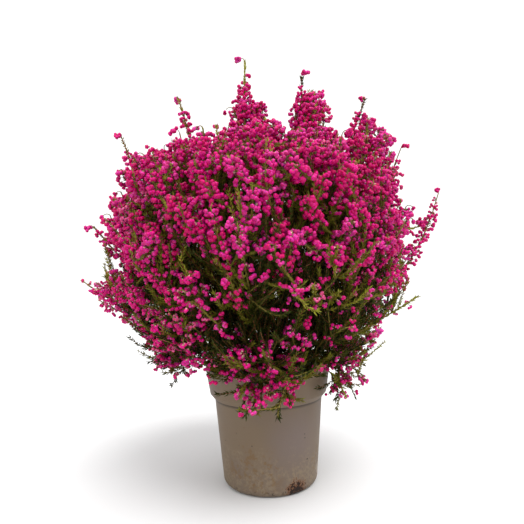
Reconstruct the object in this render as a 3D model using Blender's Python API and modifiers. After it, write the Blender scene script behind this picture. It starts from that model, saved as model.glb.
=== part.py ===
"""Potted cape heath: a bushy winter-flowering heath in a round plastic nursery pot.

Metres, +Z up. The origin is the middle of the pot's flat underside. The viewer stands on the -Y side.
"""

import math
import random

import bmesh
import bpy
import numpy as np
from mathutils import Matrix, Vector

# Pot: a tapered body under a wider collar, with a rounded foot and lip
POT_HEIGHT = 0.108
RIM_RADIUS = 0.0600
COLLAR_FOOT_RADIUS = 0.0560
COLLAR_FOOT_HEIGHT = 0.0792
COLLAR_STEP_HEIGHT = 0.0048
BODY_TOP_RADIUS = 0.0515
FOOT_RADIUS = 0.0448
FOOT_ROUNDING = 0.0060
LIP_RADIUS = 0.0009
WALL = 0.0014
POT_STEPS = 36
DRAIN_HOLES = 6
DRAIN_RADIUS = 0.0040
DRAIN_RING = 0.0300
DRAIN_SIDES = 10

# Growing medium, filling the pot to just under its lip
SOIL_TOP = 0.0980
SOIL_EDGE_DROP = 0.0020
SOIL_FLAT_RADIUS = 0.0200
SOIL_STEPS = 24

# What touches keeps this gap, because neighbouring solids may not share space
GAP = 0.0003

# Short woody stem between the soil and the fork: height above the soil and radius, from the root flare up
STEM_OUTLINE = [(0.0003, 0.0085), (0.0018, 0.0068), (0.0050, 0.0055), (0.0160, 0.0052), (0.0270, 0.0042)]
STEM_LEAN = 0.0015
STEM_LEANS_FROM = 0.0050

# Boughs: root radius, tip radius, and the share of each path that is bare bough
BOUGH_RADIUS = 0.0016
BOUGH_TIP_RADIUS = 0.0012
BOUGH_SHARE = 0.34
BOUGH_POINTS = 4

# Height above the soil of each station, where a whorl of boughs leaves the stem
STATIONS = {"top": 0.0235, "upper": 0.0180, "middle": 0.0125, "foot": 0.0065}

# Each ring of plumes: its station, how far its boughs start off the vertical, how much of a path's length
# the bend takes, side shoots, how far shoots spread, and share of blossom
RINGS = {
    "crest": dict(station="top", lean=22, bend=0.50, shoots=5, spread=0.042, bloom=1.00),
    "shoulder": dict(station="upper", lean=46, bend=0.48, shoots=5, spread=0.042, bloom=1.00),
    "flank": dict(station="middle", lean=64, bend=0.46, shoots=5, spread=0.042, bloom=0.90),
    "low": dict(station="foot", lean=72, bend=0.50, shoots=5, spread=0.024, bloom=0.70),
    "skirt": dict(station="foot", lean=58, bend=0.84, shoots=5, spread=0.022, bloom=0.60),
}

# Tip of each plume: degrees round the pot from +X towards +Y, distance from its axis, height
TIPS = {
    "crest_left": (250, 0.037, 0.407),
    "crest_right": (310, 0.059, 0.382),
    "crest_far_right": (343, 0.102, 0.355),
    "crest_far_left": (208, 0.084, 0.356),
    "crest_back_left": (136, 0.068, 0.362),
    "crest_back_right": (46, 0.072, 0.362),
    "shoulder_left": (189, 0.134, 0.328),
    "shoulder_right": (356, 0.136, 0.314),
    "shoulder_back": (91, 0.108, 0.336),
    "shoulder_front_left": (237, 0.117, 0.305),
    "shoulder_front_right": (302, 0.117, 0.300),
    "flank_left": (183, 0.164, 0.245),
    "flank_right": (2, 0.177, 0.273),
    "flank_back_left": (145, 0.152, 0.270),
    "flank_back_right": (37, 0.152, 0.262),
    "flank_front_left": (217, 0.152, 0.238),
    "flank_front_right": (322, 0.144, 0.235),
    "flank_front": (263, 0.151, 0.228),
    "low_left": (188, 0.176, 0.197),
    "low_right": (356, 0.156, 0.176),
    "low_front_left": (228, 0.126, 0.158),
    "low_front_right": (312, 0.122, 0.152),
    "low_back_left": (112, 0.152, 0.222),
    "low_back_right": (66, 0.148, 0.206),
    "skirt_front": (266, 0.094, 0.090),
    "skirt_left": (199, 0.106, 0.118),
    "skirt_right": (338, 0.084, 0.082),
    "skirt_back": (90, 0.102, 0.106),
}

# Crown: a rounded dome that only the plumes' own tips stand out of
DOME_RADIUS = 0.156
DOME_MIDDLE = 0.225
DOME_TOP = 0.370
DOME_BOTTOM = 0.084
DOME_POWER_ABOVE = 2.5
DOME_POWER_BELOW = 3.0

# Core of a plume: the dense middle that its shoots stand out of, no wider than the plume's own space
CORE_START = 0.44
CORE_END = 0.80
CORE_RINGS = 5
CORE_RADIUS = 0.017
CORE_END_RADIUS = 0.005
CORE_FILL = 0.92

# Shoots, blossom and needle sprays
AXIS_SAMPLES = 36
SPACE_MARGIN = 0.0006
POT_CLEARANCE = 0.0018
GOLDEN_TURN = math.radians(137.508)
TWIG_POINTS = 3
LEADER_POINTS = 6
TWIG_RADIUS = 0.0012
TWIG_TIP_RADIUS = 0.0007
FIRST_SHOOT = 0.03
LAST_SHOOT = 0.62
SHOOT_RUN = (0.38, 0.56)
SHOOT_WIDTHS = (1.0, 0.85, 0.7, 0.55, 0.4)
TIP_ROOM = 0.006
BLOSSOM_RADIUS = 0.0115
BLOSSOM_STRETCH = 1.50
BLOSSOM_OFFSET = 0.30
BLOSSOM_SPACING = 0.0255
BLOSSOM_START = 0.42
LEADER_BLOSSOM_START = 0.62
BLOSSOM_END = 0.985
SPRAY_LENGTH = 0.020
SPRAY_WIDTH = 0.0070
SPRAY_THICKNESS = 0.0020
SPRAYS_PER_SHOOT = 1
SEED = 71

POT_COLOUR = (0.190, 0.148, 0.112)
SOIL_COLOUR = (0.030, 0.019, 0.012)
BARK_COLOUR = (0.110, 0.052, 0.026)
BLOSSOM_COLOUR = (0.560, 0.010, 0.170)
GREEN_COLOUR = (0.060, 0.095, 0.022)


def clear_scene():
    for obj in list(bpy.data.objects):
        bpy.data.objects.remove(obj)


def new_collection(name):
    collection = bpy.data.collections.new(name)
    bpy.context.scene.collection.children.link(collection)
    return collection


def new_material(name, colour, roughness):
    material = bpy.data.materials.new(name)
    material.use_nodes = True
    shader = material.node_tree.nodes["Principled BSDF"]
    shader.inputs["Base Color"].default_value = (*colour, 1.0)
    shader.inputs["Roughness"].default_value = roughness
    return material


def add_object(name, data, collection, material=None):
    obj = bpy.data.objects.new(name, data)
    collection.objects.link(obj)
    if material is not None:
        data.materials.append(material)
    return obj


def evaluated_mesh(obj):
    """The object's mesh with its modifiers and curve settings carried out."""
    bpy.context.view_layer.update()
    graph = bpy.context.evaluated_depsgraph_get()
    return bpy.data.meshes.new_from_object(obj.evaluated_get(graph))


# Pot and soil


def arc(centre, radius, first, last, count):
    """Points on an arc in the plane of the profile, angles in degrees from +X towards +Z."""
    angles = [math.radians(first + (last - first) * i / (count - 1)) for i in range(count)]
    return [(centre[0] + radius * math.cos(a), centre[1] + radius * math.sin(a)) for a in angles]


def pot_outside():
    """The outer side from the lip down to the edge of the flat underside."""
    foot = (FOOT_RADIUS - FOOT_ROUNDING, FOOT_ROUNDING)
    return [
        (COLLAR_FOOT_RADIUS, COLLAR_FOOT_HEIGHT + COLLAR_STEP_HEIGHT),
        (BODY_TOP_RADIUS, COLLAR_FOOT_HEIGHT),
        *arc(foot, FOOT_ROUNDING, 0, -90, 4),
    ]


def offset_inwards(points, distance):
    """The same line moved towards the axis and the inside of the pot, for a line that runs downwards."""
    moved = []
    for i, here in enumerate(points):
        before = Vector(points[max(i - 1, 0)])
        after = Vector(points[min(i + 1, len(points) - 1)])
        along = (after - before).normalized()
        moved.append((here[0] + along.y * distance, here[1] - along.x * distance))
    return moved


def turned(name, profile, steps, collection, material):
    """A closed shape turned round Z from a profile that starts and ends on the axis."""
    mesh = bpy.data.meshes.new(name)
    mesh.from_pydata([(x, 0, z) for x, z in profile], [(i, i + 1) for i in range(len(profile) - 1)], [])
    obj = add_object(name, mesh, collection, material)
    screw = obj.modifiers.new("Turn", "SCREW")
    screw.steps = steps
    screw.render_steps = steps
    screw.use_merge_vertices = True
    screw.merge_threshold = 0.00005
    screw.use_smooth_shade = True
    return obj


def pot_lip():
    centre = (RIM_RADIUS - LIP_RADIUS, POT_HEIGHT - LIP_RADIUS)
    return arc(centre, LIP_RADIUS, 180, 0, 4)


def make_pot(collection, cutters, material):
    outside = pot_outside()
    inside = offset_inwards(outside, WALL)
    profile = [(0, WALL), *reversed(inside), *pot_lip(), *outside, (0, 0)]
    pot = turned("pot", profile, POT_STEPS, collection, material)
    for i in range(DRAIN_HOLES):
        turn = 2 * math.pi * i / DRAIN_HOLES
        cutter_mesh = bpy.data.meshes.new("drain_cutter")
        bm = bmesh.new()
        bmesh.ops.create_cone(
            bm, cap_ends=True, segments=DRAIN_SIDES, radius1=DRAIN_RADIUS, radius2=DRAIN_RADIUS, depth=4 * WALL
        )
        bm.to_mesh(cutter_mesh)
        bm.free()
        cutter = add_object(f"drain_cutter_{i + 1}", cutter_mesh, cutters)
        cutter.location = (DRAIN_RING * math.cos(turn), DRAIN_RING * math.sin(turn), WALL / 2)
        cutter.hide_render = True
        cutter.display_type = "WIRE"
        cut = pot.modifiers.new(f"Drain {i + 1}", "BOOLEAN")
        cut.operation = "DIFFERENCE"
        cut.object = cutter
    return pot


def make_soil(collection, material):
    below = offset_inwards(pot_outside(), WALL + GAP)
    edge = COLLAR_FOOT_RADIUS + (RIM_RADIUS - COLLAR_FOOT_RADIUS) * 0.5 - WALL - 2 * GAP
    profile = [(0, SOIL_TOP), (SOIL_FLAT_RADIUS, SOIL_TOP), (edge, SOIL_TOP - SOIL_EDGE_DROP), *below]
    profile.append((0, WALL + GAP))
    return turned("soil", profile, SOIL_STEPS, collection, material)


# Paths of the boughs and plumes


def polar(turn, out, height):
    return Vector((out * math.cos(turn), out * math.sin(turn), height))


def bezier(start, bend, tip, share):
    rest = 1 - share
    return start * (rest * rest) + bend * (2 * rest * share) + tip * (share * share)


def ring_of(name):
    return name.split("_")[0]


def stem_axis(height):
    """The middle line of the woody stem, which leans a little above its flare, height counted from the soil."""
    share = max(height - STEM_LEANS_FROM, 0) / (STEM_OUTLINE[-1][0] - STEM_LEANS_FROM)
    return Vector((STEM_LEAN * share, 0, SOIL_TOP + height))


def stem_radius(height):
    heights, radii = zip(*STEM_OUTLINE)
    return float(np.interp(height, heights, radii))


def start_turns(station):
    """Boughs of a whorl leave the stem evenly spaced, in the order of their tips."""
    names = [name for name in TIPS if RINGS[ring_of(name)]["station"] == station]
    names.sort(key=lambda name: TIPS[name][0])
    step = 2 * math.pi / len(names)
    drifts = [math.radians(TIPS[name][0]) - step * i for i, name in enumerate(names)]
    first = sum(drifts) / len(drifts)
    return {name: first + step * i for i, name in enumerate(names)}


def plume_paths():
    """For each plume the start, bend and tip of the one curve that its bough and leader follow."""
    paths = {}
    for station, height in STATIONS.items():
        for name, turn in start_turns(station).items():
            sizes = RINGS[ring_of(name)]
            lean = math.radians(sizes["lean"])
            tip_turn, tip_out, tip_height = TIPS[name]
            tip = polar(math.radians(tip_turn), tip_out, tip_height)
            out = stem_radius(height) + GAP + BOUGH_RADIUS * math.cos(lean)
            start = stem_axis(height) + polar(turn, out, 0)
            aim = polar(math.radians(tip_turn), math.sin(lean), math.cos(lean))
            bend = start + aim * (tip - start).length * sizes["bend"]
            paths[name] = (start, bend, tip)
    return paths


# Space of each plume


class Spaces:
    """Divides the crown among the plumes: a point belongs to the path that it is nearest to."""

    def __init__(self, paths):
        self.names = list(paths)
        shares = np.linspace(0, 1, AXIS_SAMPLES)
        self.lines = np.array([[bezier(*path, share) for share in shares] for path in paths.values()])

    def half_gap(self, name, point):
        """Half the distance from a point on the plume's path to the nearest other path."""
        gaps = np.linalg.norm(self.lines - np.array(point), axis=2).min(axis=1)
        return np.delete(gaps, self.names.index(name)).min() / 2

    def holds(self, name, points, margin=SPACE_MARGIN):
        """True where every point keeps to the plume's own space and clear of the pot and the limbs."""
        points = np.asarray(points, float).reshape(-1, 3)
        gaps = np.linalg.norm(points[:, None, None, :] - self.lines[None], axis=3)
        nearest = gaps.min(axis=2)
        index = self.names.index(name)
        own = nearest[:, index]
        others = np.delete(nearest, index, axis=1).min(axis=1)
        bare = int(BOUGH_SHARE * AXIS_SAMPLES) + 1
        from_bough = gaps[:, index, :bare].min(axis=1)
        clear = (own + 2 * margin < others) & (from_bough > 2 * BOUGH_RADIUS)
        return bool(clear.all()) and clears_pot(points)


def distance_to_pot(point):
    up = max(point.z - POT_HEIGHT, 0)
    out = max(math.hypot(point.x, point.y) - RIM_RADIUS, 0)
    return math.hypot(up, out)


def clears_pot(points):
    """True where all the points lie above the rim, outside it, or beyond a cone that slopes over its edge."""
    up = points[:, 2] - POT_HEIGHT
    out = np.hypot(points[:, 0], points[:, 1]) - RIM_RADIUS
    return any((reach > POT_CLEARANCE).all() for reach in (up, out, (up + out) / math.sqrt(2)))


def in_dome(point):
    """True inside the crown's rounded outline."""
    half = DOME_TOP - DOME_MIDDLE if point.z > DOME_MIDDLE else DOME_MIDDLE - DOME_BOTTOM
    power = DOME_POWER_ABOVE if point.z > DOME_MIDDLE else DOME_POWER_BELOW
    up = abs(point.z - DOME_MIDDLE) / half
    out = math.hypot(point.x, point.y) / DOME_RADIUS
    return out**power + up**power <= 1


# Stem, boughs and shoots


def tapered_curve(name, points, radii, resolution, collection, material=None):
    data = bpy.data.curves.new(name, "CURVE")
    data.dimensions = "3D"
    data.bevel_depth = 1.0
    data.bevel_resolution = resolution
    data.use_fill_caps = True
    line = data.splines.new("POLY")
    line.points.add(len(points) - 1)
    for slot, point, radius in zip(line.points, points, radii):
        slot.co = (*point, 1)
        slot.radius = radius
    return add_object(name, data, collection, material)


def make_stem(collection, material):
    heights, radii = zip(*STEM_OUTLINE)
    points = [stem_axis(height) for height in heights]
    return tapered_curve("main_stem", points, radii, 3, collection, material)


def make_bough(name, path, collection, material):
    points = [bezier(*path, BOUGH_SHARE * i / (BOUGH_POINTS - 1)) for i in range(BOUGH_POINTS)]
    steps = [i / (BOUGH_POINTS - 1) for i in range(BOUGH_POINTS)]
    radii = [BOUGH_RADIUS + (BOUGH_TIP_RADIUS - BOUGH_RADIUS) * s for s in steps]
    return tapered_curve(f"{name}_bough", points, radii, 1, collection, material)


def side_direction(along, turn):
    """A unit vector square to a path, turned round it."""
    across = along.cross(Vector((0, 0, 1)))
    if across.length < 0.1:
        across = along.cross(Vector((0, 1, 0)))
    across.normalize()
    return (Matrix.Rotation(turn, 3, along.normalized()) @ across).normalized()


def shoots_of(name, path, spaces):
    """The leader and the side shoots of a plume, each a list of points from root to tip."""
    sizes = RINGS[ring_of(name)]
    draw = random.Random(f"{SEED} {name}")
    first = BOUGH_SHARE + 0.004
    leader = [bezier(*path, first + (1 - first) * i / (LEADER_POINTS - 1)) for i in range(LEADER_POINTS)]
    along = (bezier(*path, BOUGH_SHARE) - bezier(*path, BOUGH_SHARE * 0.75)).normalized()
    leader[0] = bezier(*path, BOUGH_SHARE) + along * GAP
    shoots = [leader]
    turn = draw.uniform(0, 2 * math.pi)
    for i in range(sizes["shoots"]):
        share = FIRST_SHOOT + (LAST_SHOOT - FIRST_SHOOT) * (i + 0.5) / sizes["shoots"]
        root_at = BOUGH_SHARE + (1 - BOUGH_SHARE) * share
        end_at = min(1.0, root_at + draw.uniform(*SHOOT_RUN))
        reach = draw.uniform(0.75, 1.0)
        turn += GOLDEN_TURN
        root = bezier(*path, root_at)
        heading = bezier(*path, end_at) - root
        for width in SHOOT_WIDTHS:
            sideways = side_direction(heading, turn) * sizes["spread"] * width
            tip = root + heading * reach * (0.6 + 0.4 * width) + sideways
            bend = root + heading * reach * 0.45 + sideways * 0.95
            shoot = [bezier(root, bend, tip, k / (TWIG_POINTS - 1)) for k in range(TWIG_POINTS)]
            fits = spaces.holds(name, shoot[1:]) and spaces.holds(name, tip, TIP_ROOM)
            if in_dome(tip) and fits and clears_pot(np.array(shoot)):
                shoots.append(shoot)
                break
    return shoots


def twig_profile(collection):
    """A three-cornered outline for the curves of the twigs, hidden from the model."""
    data = bpy.data.curves.new("twig_profile", "CURVE")
    data.dimensions = "2D"
    corners = data.splines.new("POLY")
    corners.points.add(2)
    corners.use_cyclic_u = True
    for i, corner in enumerate(corners.points):
        corner.co = (math.cos(2 * math.pi * i / 3), math.sin(2 * math.pi * i / 3), 0, 1)
    profile = add_object("twig_profile", data, collection)
    profile.hide_render = True
    profile.display_type = "WIRE"
    return profile


def tube_mesh(points, radii, profile=None):
    """A closed tapering tube, three-sided where it takes the twigs' outline and six-sided otherwise."""
    curve = tapered_curve("tube", points, radii, 1, bpy.context.scene.collection)
    if profile is not None:
        curve.data.bevel_mode = "OBJECT"
        curve.data.bevel_object = profile
    mesh = evaluated_mesh(curve)
    bpy.data.objects.remove(curve)
    bm = bmesh.new()
    bm.from_mesh(mesh)
    bmesh.ops.remove_doubles(bm, verts=bm.verts, dist=0.00001)
    bmesh.ops.recalc_face_normals(bm, faces=bm.faces)
    bm.to_mesh(mesh)
    bm.free()
    return mesh


def eight_faced(scale, pose):
    """A stretched eight-faced body, the plain form of a blossom cluster or of a spray of needles."""
    mesh = bpy.data.meshes.new("eight_faced")
    bm = bmesh.new()
    bmesh.ops.create_uvsphere(bm, u_segments=4, v_segments=2, radius=1.0)
    bmesh.ops.scale(bm, verts=bm.verts, vec=scale)
    bmesh.ops.transform(bm, verts=bm.verts, matrix=pose)
    bm.to_mesh(mesh)
    bm.free()
    return mesh


def pose_towards(centre, direction, spin):
    turn = direction.to_track_quat("Z", "Y").to_matrix().to_4x4()
    return Matrix.Translation(centre) @ turn @ Matrix.Rotation(spin, 4, "Z")


def point_on(shoot, share):
    """A point and the heading at a share of a shoot's points."""
    place = share * (len(shoot) - 1)
    low = min(int(place), len(shoot) - 2)
    heading = (shoot[low + 1] - shoot[low]).normalized()
    return shoot[low].lerp(shoot[low + 1], place - low), heading


def blossoms_on(shoot, start, bloom, draw):
    """Clusters of bells, alternating round the outer part of a shoot, smaller towards its tip."""
    length = sum((b - a).length for a, b in zip(shoot, shoot[1:])) * (1 - start)
    count = max(1, round(bloom * length / BLOSSOM_SPACING))
    turn = draw.uniform(0, 2 * math.pi)
    for i in range(count):
        share = start + (BLOSSOM_END - start) * (i + 0.5) / count
        place, heading = point_on(shoot, share)
        taper = 1.10 - 0.60 * (share - BLOSSOM_START)
        radius = BLOSSOM_RADIUS * taper * draw.uniform(0.92, 1.08)
        turn += GOLDEN_TURN
        centre = place + side_direction(heading, turn) * radius * BLOSSOM_OFFSET
        pose = pose_towards(centre, heading, draw.uniform(0, math.pi))
        yield eight_faced((radius, radius, radius * BLOSSOM_STRETCH), pose)


def sprays_on(shoot, draw):
    """Flat sprays of needles on the lower part of a shoot."""
    turn = draw.uniform(0, 2 * math.pi)
    for i in range(SPRAYS_PER_SHOOT):
        share = 0.12 + (BLOSSOM_START - 0.12) * (i + 0.5) / SPRAYS_PER_SHOOT
        place, heading = point_on(shoot, share)
        turn += GOLDEN_TURN
        direction = (heading + side_direction(heading, turn) * 1.1).normalized()
        centre = place + direction * SPRAY_LENGTH * 0.34
        pose = pose_towards(centre, direction, draw.uniform(0, math.pi))
        yield eight_faced((SPRAY_WIDTH / 2, SPRAY_THICKNESS / 2, SPRAY_LENGTH / 2), pose)


def core_of(name, path, spaces):
    """The dense middle of a plume, a spindle round its path."""
    points = []
    radii = []
    for i in range(CORE_RINGS):
        step = i / (CORE_RINGS - 1)
        point = bezier(*path, CORE_START + (CORE_END - CORE_START) * step)
        widest = CORE_END_RADIUS + (CORE_RADIUS - CORE_END_RADIUS) * math.sin(math.pi * step) ** 0.7
        room = min(spaces.half_gap(name, point) * CORE_FILL, distance_to_pot(point) - POT_CLEARANCE)
        radii.append(min(widest, room))
        points.append(point)
    return points, radii


def keep_largest(mesh):
    """Drops loose scraps, so that one closed body stays."""
    bm = bmesh.new()
    bm.from_mesh(mesh)
    left = set(bm.verts)
    bodies = []
    while left:
        found = {left.pop()}
        edge = list(found)
        while edge:
            near = {e.other_vert(v) for v in edge for e in v.link_edges} & left
            left -= near
            found |= near
            edge = list(near)
        bodies.append(found)
    bodies.sort(key=len)
    scraps = [v for body in bodies[:-1] for v in body]
    bmesh.ops.delete(bm, geom=scraps, context="VERTS")
    bm.to_mesh(mesh)
    bm.free()


def make_plume(name, path, spaces, profile, collection, material):
    """One mass: a leader with side shoots, their blossom and sprays, fused into one closed body."""
    draw = random.Random(f"{SEED} blossom {name}")
    bloom = RINGS[ring_of(name)]["bloom"]
    shoots = shoots_of(name, path, spaces)
    meshes = []
    for i, shoot in enumerate(shoots):
        root_radius = BOUGH_TIP_RADIUS if i == 0 else TWIG_RADIUS
        last = len(shoot) - 1
        radii = [root_radius + (TWIG_TIP_RADIUS - root_radius) * k / last for k in range(last + 1)]
        meshes.append(tube_mesh(shoot, radii, profile))
    meshes.append(tube_mesh(*core_of(name, path, spaces)))
    for i, shoot in enumerate(shoots):
        start = BLOSSOM_START if i else LEADER_BLOSSOM_START
        for mesh in [*blossoms_on(shoot, start, bloom, draw), *sprays_on(shoot, draw)]:
            if spaces.holds(name, [v.co for v in mesh.vertices]):
                meshes.append(mesh)
    plume = add_object(name, meshes[0], collection, material)
    pieces = new_collection(f"{name}_pieces")
    for mesh in meshes[1:]:
        add_object("piece", mesh, pieces)
    union = plume.modifiers.new("Fuse", "BOOLEAN")
    union.operation = "UNION"
    union.operand_type = "COLLECTION"
    union.collection = pieces
    union.solver = "MANIFOLD"
    fused = evaluated_mesh(plume)
    keep_largest(fused)
    plume.modifiers.clear()
    plume.data = fused
    for obj in list(pieces.objects):
        bpy.data.objects.remove(obj)
    bpy.data.collections.remove(pieces)
    return plume


def main():
    clear_scene()
    plant = new_collection("potted_cape_heath")
    helpers = new_collection("helpers")
    make_pot(plant, helpers, new_material("pot_plastic", POT_COLOUR, 0.55))
    make_soil(plant, new_material("soil", SOIL_COLOUR, 0.95))
    bark = new_material("bark", BARK_COLOUR, 0.85)
    blossom = new_material("blossom", BLOSSOM_COLOUR, 0.5)
    green = new_material("needles", GREEN_COLOUR, 0.7)
    make_stem(plant, bark)
    profile = twig_profile(helpers)
    paths = plume_paths()
    spaces = Spaces(paths)
    for name, path in paths.items():
        make_bough(name, path, plant, bark)
        material = green if ring_of(name) == "skirt" else blossom
        make_plume(name, path, spaces, profile, plant, material)


main()
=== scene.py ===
"""Potted cape heath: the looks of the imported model. Metres, +Z up, seen from the -Y side."""

import math
import random
from collections import namedtuple

import bmesh
import bpy
import numpy as np
from mathutils import Matrix, Vector, noise


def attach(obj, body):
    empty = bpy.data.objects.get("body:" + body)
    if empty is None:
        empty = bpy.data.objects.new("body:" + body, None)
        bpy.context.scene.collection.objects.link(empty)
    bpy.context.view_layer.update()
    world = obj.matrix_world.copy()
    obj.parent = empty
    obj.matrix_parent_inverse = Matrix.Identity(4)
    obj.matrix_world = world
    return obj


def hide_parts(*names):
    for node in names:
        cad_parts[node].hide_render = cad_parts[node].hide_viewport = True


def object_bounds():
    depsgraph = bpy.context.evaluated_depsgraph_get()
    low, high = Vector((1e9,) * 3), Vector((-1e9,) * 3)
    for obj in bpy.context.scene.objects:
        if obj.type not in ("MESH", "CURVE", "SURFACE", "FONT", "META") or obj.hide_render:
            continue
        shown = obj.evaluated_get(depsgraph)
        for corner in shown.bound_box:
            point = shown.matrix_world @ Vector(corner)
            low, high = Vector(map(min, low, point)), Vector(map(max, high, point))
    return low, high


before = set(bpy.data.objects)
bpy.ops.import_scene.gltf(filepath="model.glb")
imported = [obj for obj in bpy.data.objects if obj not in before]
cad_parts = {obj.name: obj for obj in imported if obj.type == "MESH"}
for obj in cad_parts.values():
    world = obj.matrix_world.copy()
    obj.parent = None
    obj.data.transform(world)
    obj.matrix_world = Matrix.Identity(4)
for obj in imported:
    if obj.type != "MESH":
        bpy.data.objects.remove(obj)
cad_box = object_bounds()


# Camera: it stands 44 cm in front of the pot's middle, level with the lower crown, tilted up a little and
# rolled as the photograph is. A fit to the pot's rim, collar and foot gave its place and focal length.

FRAME_SIDE = 524
FOCAL_PIXELS = 448
SENSOR_WIDTH = 36
CLIP_START = 0.01
CAMERA_PLACE = (-0.0026, -0.441, 0.187)
CAMERA_TILT = math.radians(2.7)
CAMERA_ROLL = math.radians(1.6)


def add_object(name, data):
    added = bpy.data.objects.new(name, data)
    bpy.context.scene.collection.objects.link(added)
    return added


camera_data = bpy.data.cameras.new("camera")
camera_data.sensor_width = SENSOR_WIDTH
camera_data.lens = SENSOR_WIDTH * FOCAL_PIXELS / FRAME_SIDE
camera_data.clip_start = CLIP_START
camera = add_object("camera", camera_data)
upright = Matrix.Rotation(math.pi / 2 + CAMERA_TILT, 4, "X")
camera.matrix_world = Matrix.Translation(CAMERA_PLACE) @ upright @ Matrix.Rotation(-CAMERA_ROLL, 4, "Z")
bpy.context.scene.camera = camera


# Pot: a round nursery pot, moulded in one piece from thin taupe polypropylene, with a rolled lip, a wide
# collar over a tapered body, a rounded foot and six drain holes. It has stood out of doors, so its foot
# carries ochre water stains, dark specks and a patch of dirt.

POT_HEIGHT = 0.108
RIM_RADIUS = 0.0600
COLLAR_FOOT_RADIUS = 0.0560
COLLAR_FOOT_HEIGHT = 0.0792
COLLAR_STEP_HEIGHT = 0.0048
BODY_TOP_RADIUS = 0.0515
FOOT_RADIUS = 0.0448
FOOT_ROUNDING = 0.0060
LIP_RADIUS = 0.0009
WALL = 0.0014
LIP_FOOT = (0.0005, 0.0030)
UNDERCUT = 0.0008
CORNER = 0.0001
EDGE_ROUNDING = 0.0008
POT_STEPS = 128
MERGE_GAP = 0.00001
DRAIN_HOLES = 6
DRAIN_RADIUS = 0.0040
DRAIN_RING = 0.0300
DRAIN_SIDES = 24
SHARP_ANGLE = math.radians(38)

LEDGE_SHADE_FROM = 0.0762
LEDGE_TOP = 0.0799
TAUPE = (0.152, 0.108, 0.068)
TAUPE_GREY = (0.142, 0.105, 0.078)
TAUPE_MAUVE = (0.146, 0.111, 0.098)
TAUPE_PALE = (0.330, 0.280, 0.225)
KHAKI = (0.205, 0.155, 0.098)
OCHRE = (0.150, 0.086, 0.034)
RUST = (0.150, 0.060, 0.024)
# Black of the dirt and specks, also used as painted shade in a band under the collar's step
DIRT_AND_SHADE_BLACK = (0.010, 0.006, 0.005)
FILM_HEIGHT = 0.038
FILM_FADE = 0.024
# Middle and reach of the mauve tone, the two water stains, the dirt and the worn patch
MAUVE_AT = ((0.0240, -0.0420, 0.0520), 0.040)
STAIN_AT = ((-0.0150, -0.0400, 0.0230), 0.040)
SIDE_STAIN_AT = ((0.0420, -0.0190, 0.0260), 0.020)
DIRT_AT = ((0.0225, -0.0385, 0.0035), 0.0200)
WORN_AT = ((0.0430, -0.0130, 0.0150), 0.0140)


def arc(centre, radius, first, last, count):
    """Points on an arc of a profile, angles in degrees from +X towards +Z."""
    angles = [math.radians(first + (last - first) * i / (count - 1)) for i in range(count)]
    return [(centre[0] + radius * math.cos(a), centre[1] + radius * math.sin(a)) for a in angles]


def turned(profile, steps):
    """A shape turned round Z from a profile that starts and ends on the axis."""
    bm = bmesh.new()
    points = [bm.verts.new((out, 0, up)) for out, up in profile]
    for first, second in zip(points, points[1:]):
        bm.edges.new((first, second))
    bmesh.ops.spin(
        bm, geom=bm.verts[:] + bm.edges[:], cent=(0, 0, 0), axis=(0, 0, 1),
        angle=2 * math.pi, steps=steps, use_merge=True,
    )
    bmesh.ops.remove_doubles(bm, verts=bm.verts, dist=MERGE_GAP)
    bmesh.ops.recalc_face_normals(bm, faces=bm.faces)
    return bm


def mesh_of(name, bm):
    mesh = bpy.data.meshes.new(name)
    bm.to_mesh(mesh)
    bm.free()
    return mesh


def add_piece(name, mesh, material, replaced=()):
    """Puts a mesh in the scene as a piece that rides on the plant's one body."""
    piece = add_object(name, mesh)
    mesh.materials.append(material)
    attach(piece, "root")
    if replaced:
        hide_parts(*replaced)


class Field:
    """A value that varies over a surface: Python's operators add the Math nodes."""

    def __init__(self, finish, socket):
        self.finish = finish
        self.socket = socket

    def math(self, operation, first, second):
        return self.finish.add("Math", {"operation": operation}, {0: first, 1: second})

    def __add__(self, other):
        return self.math("ADD", self, other)

    __radd__ = __add__

    def __sub__(self, other):
        return self.math("SUBTRACT", self, other)

    def __rsub__(self, other):
        return self.math("SUBTRACT", other, self)

    def __mul__(self, other):
        return self.math("MULTIPLY", self, other)

    __rmul__ = __mul__


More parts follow.
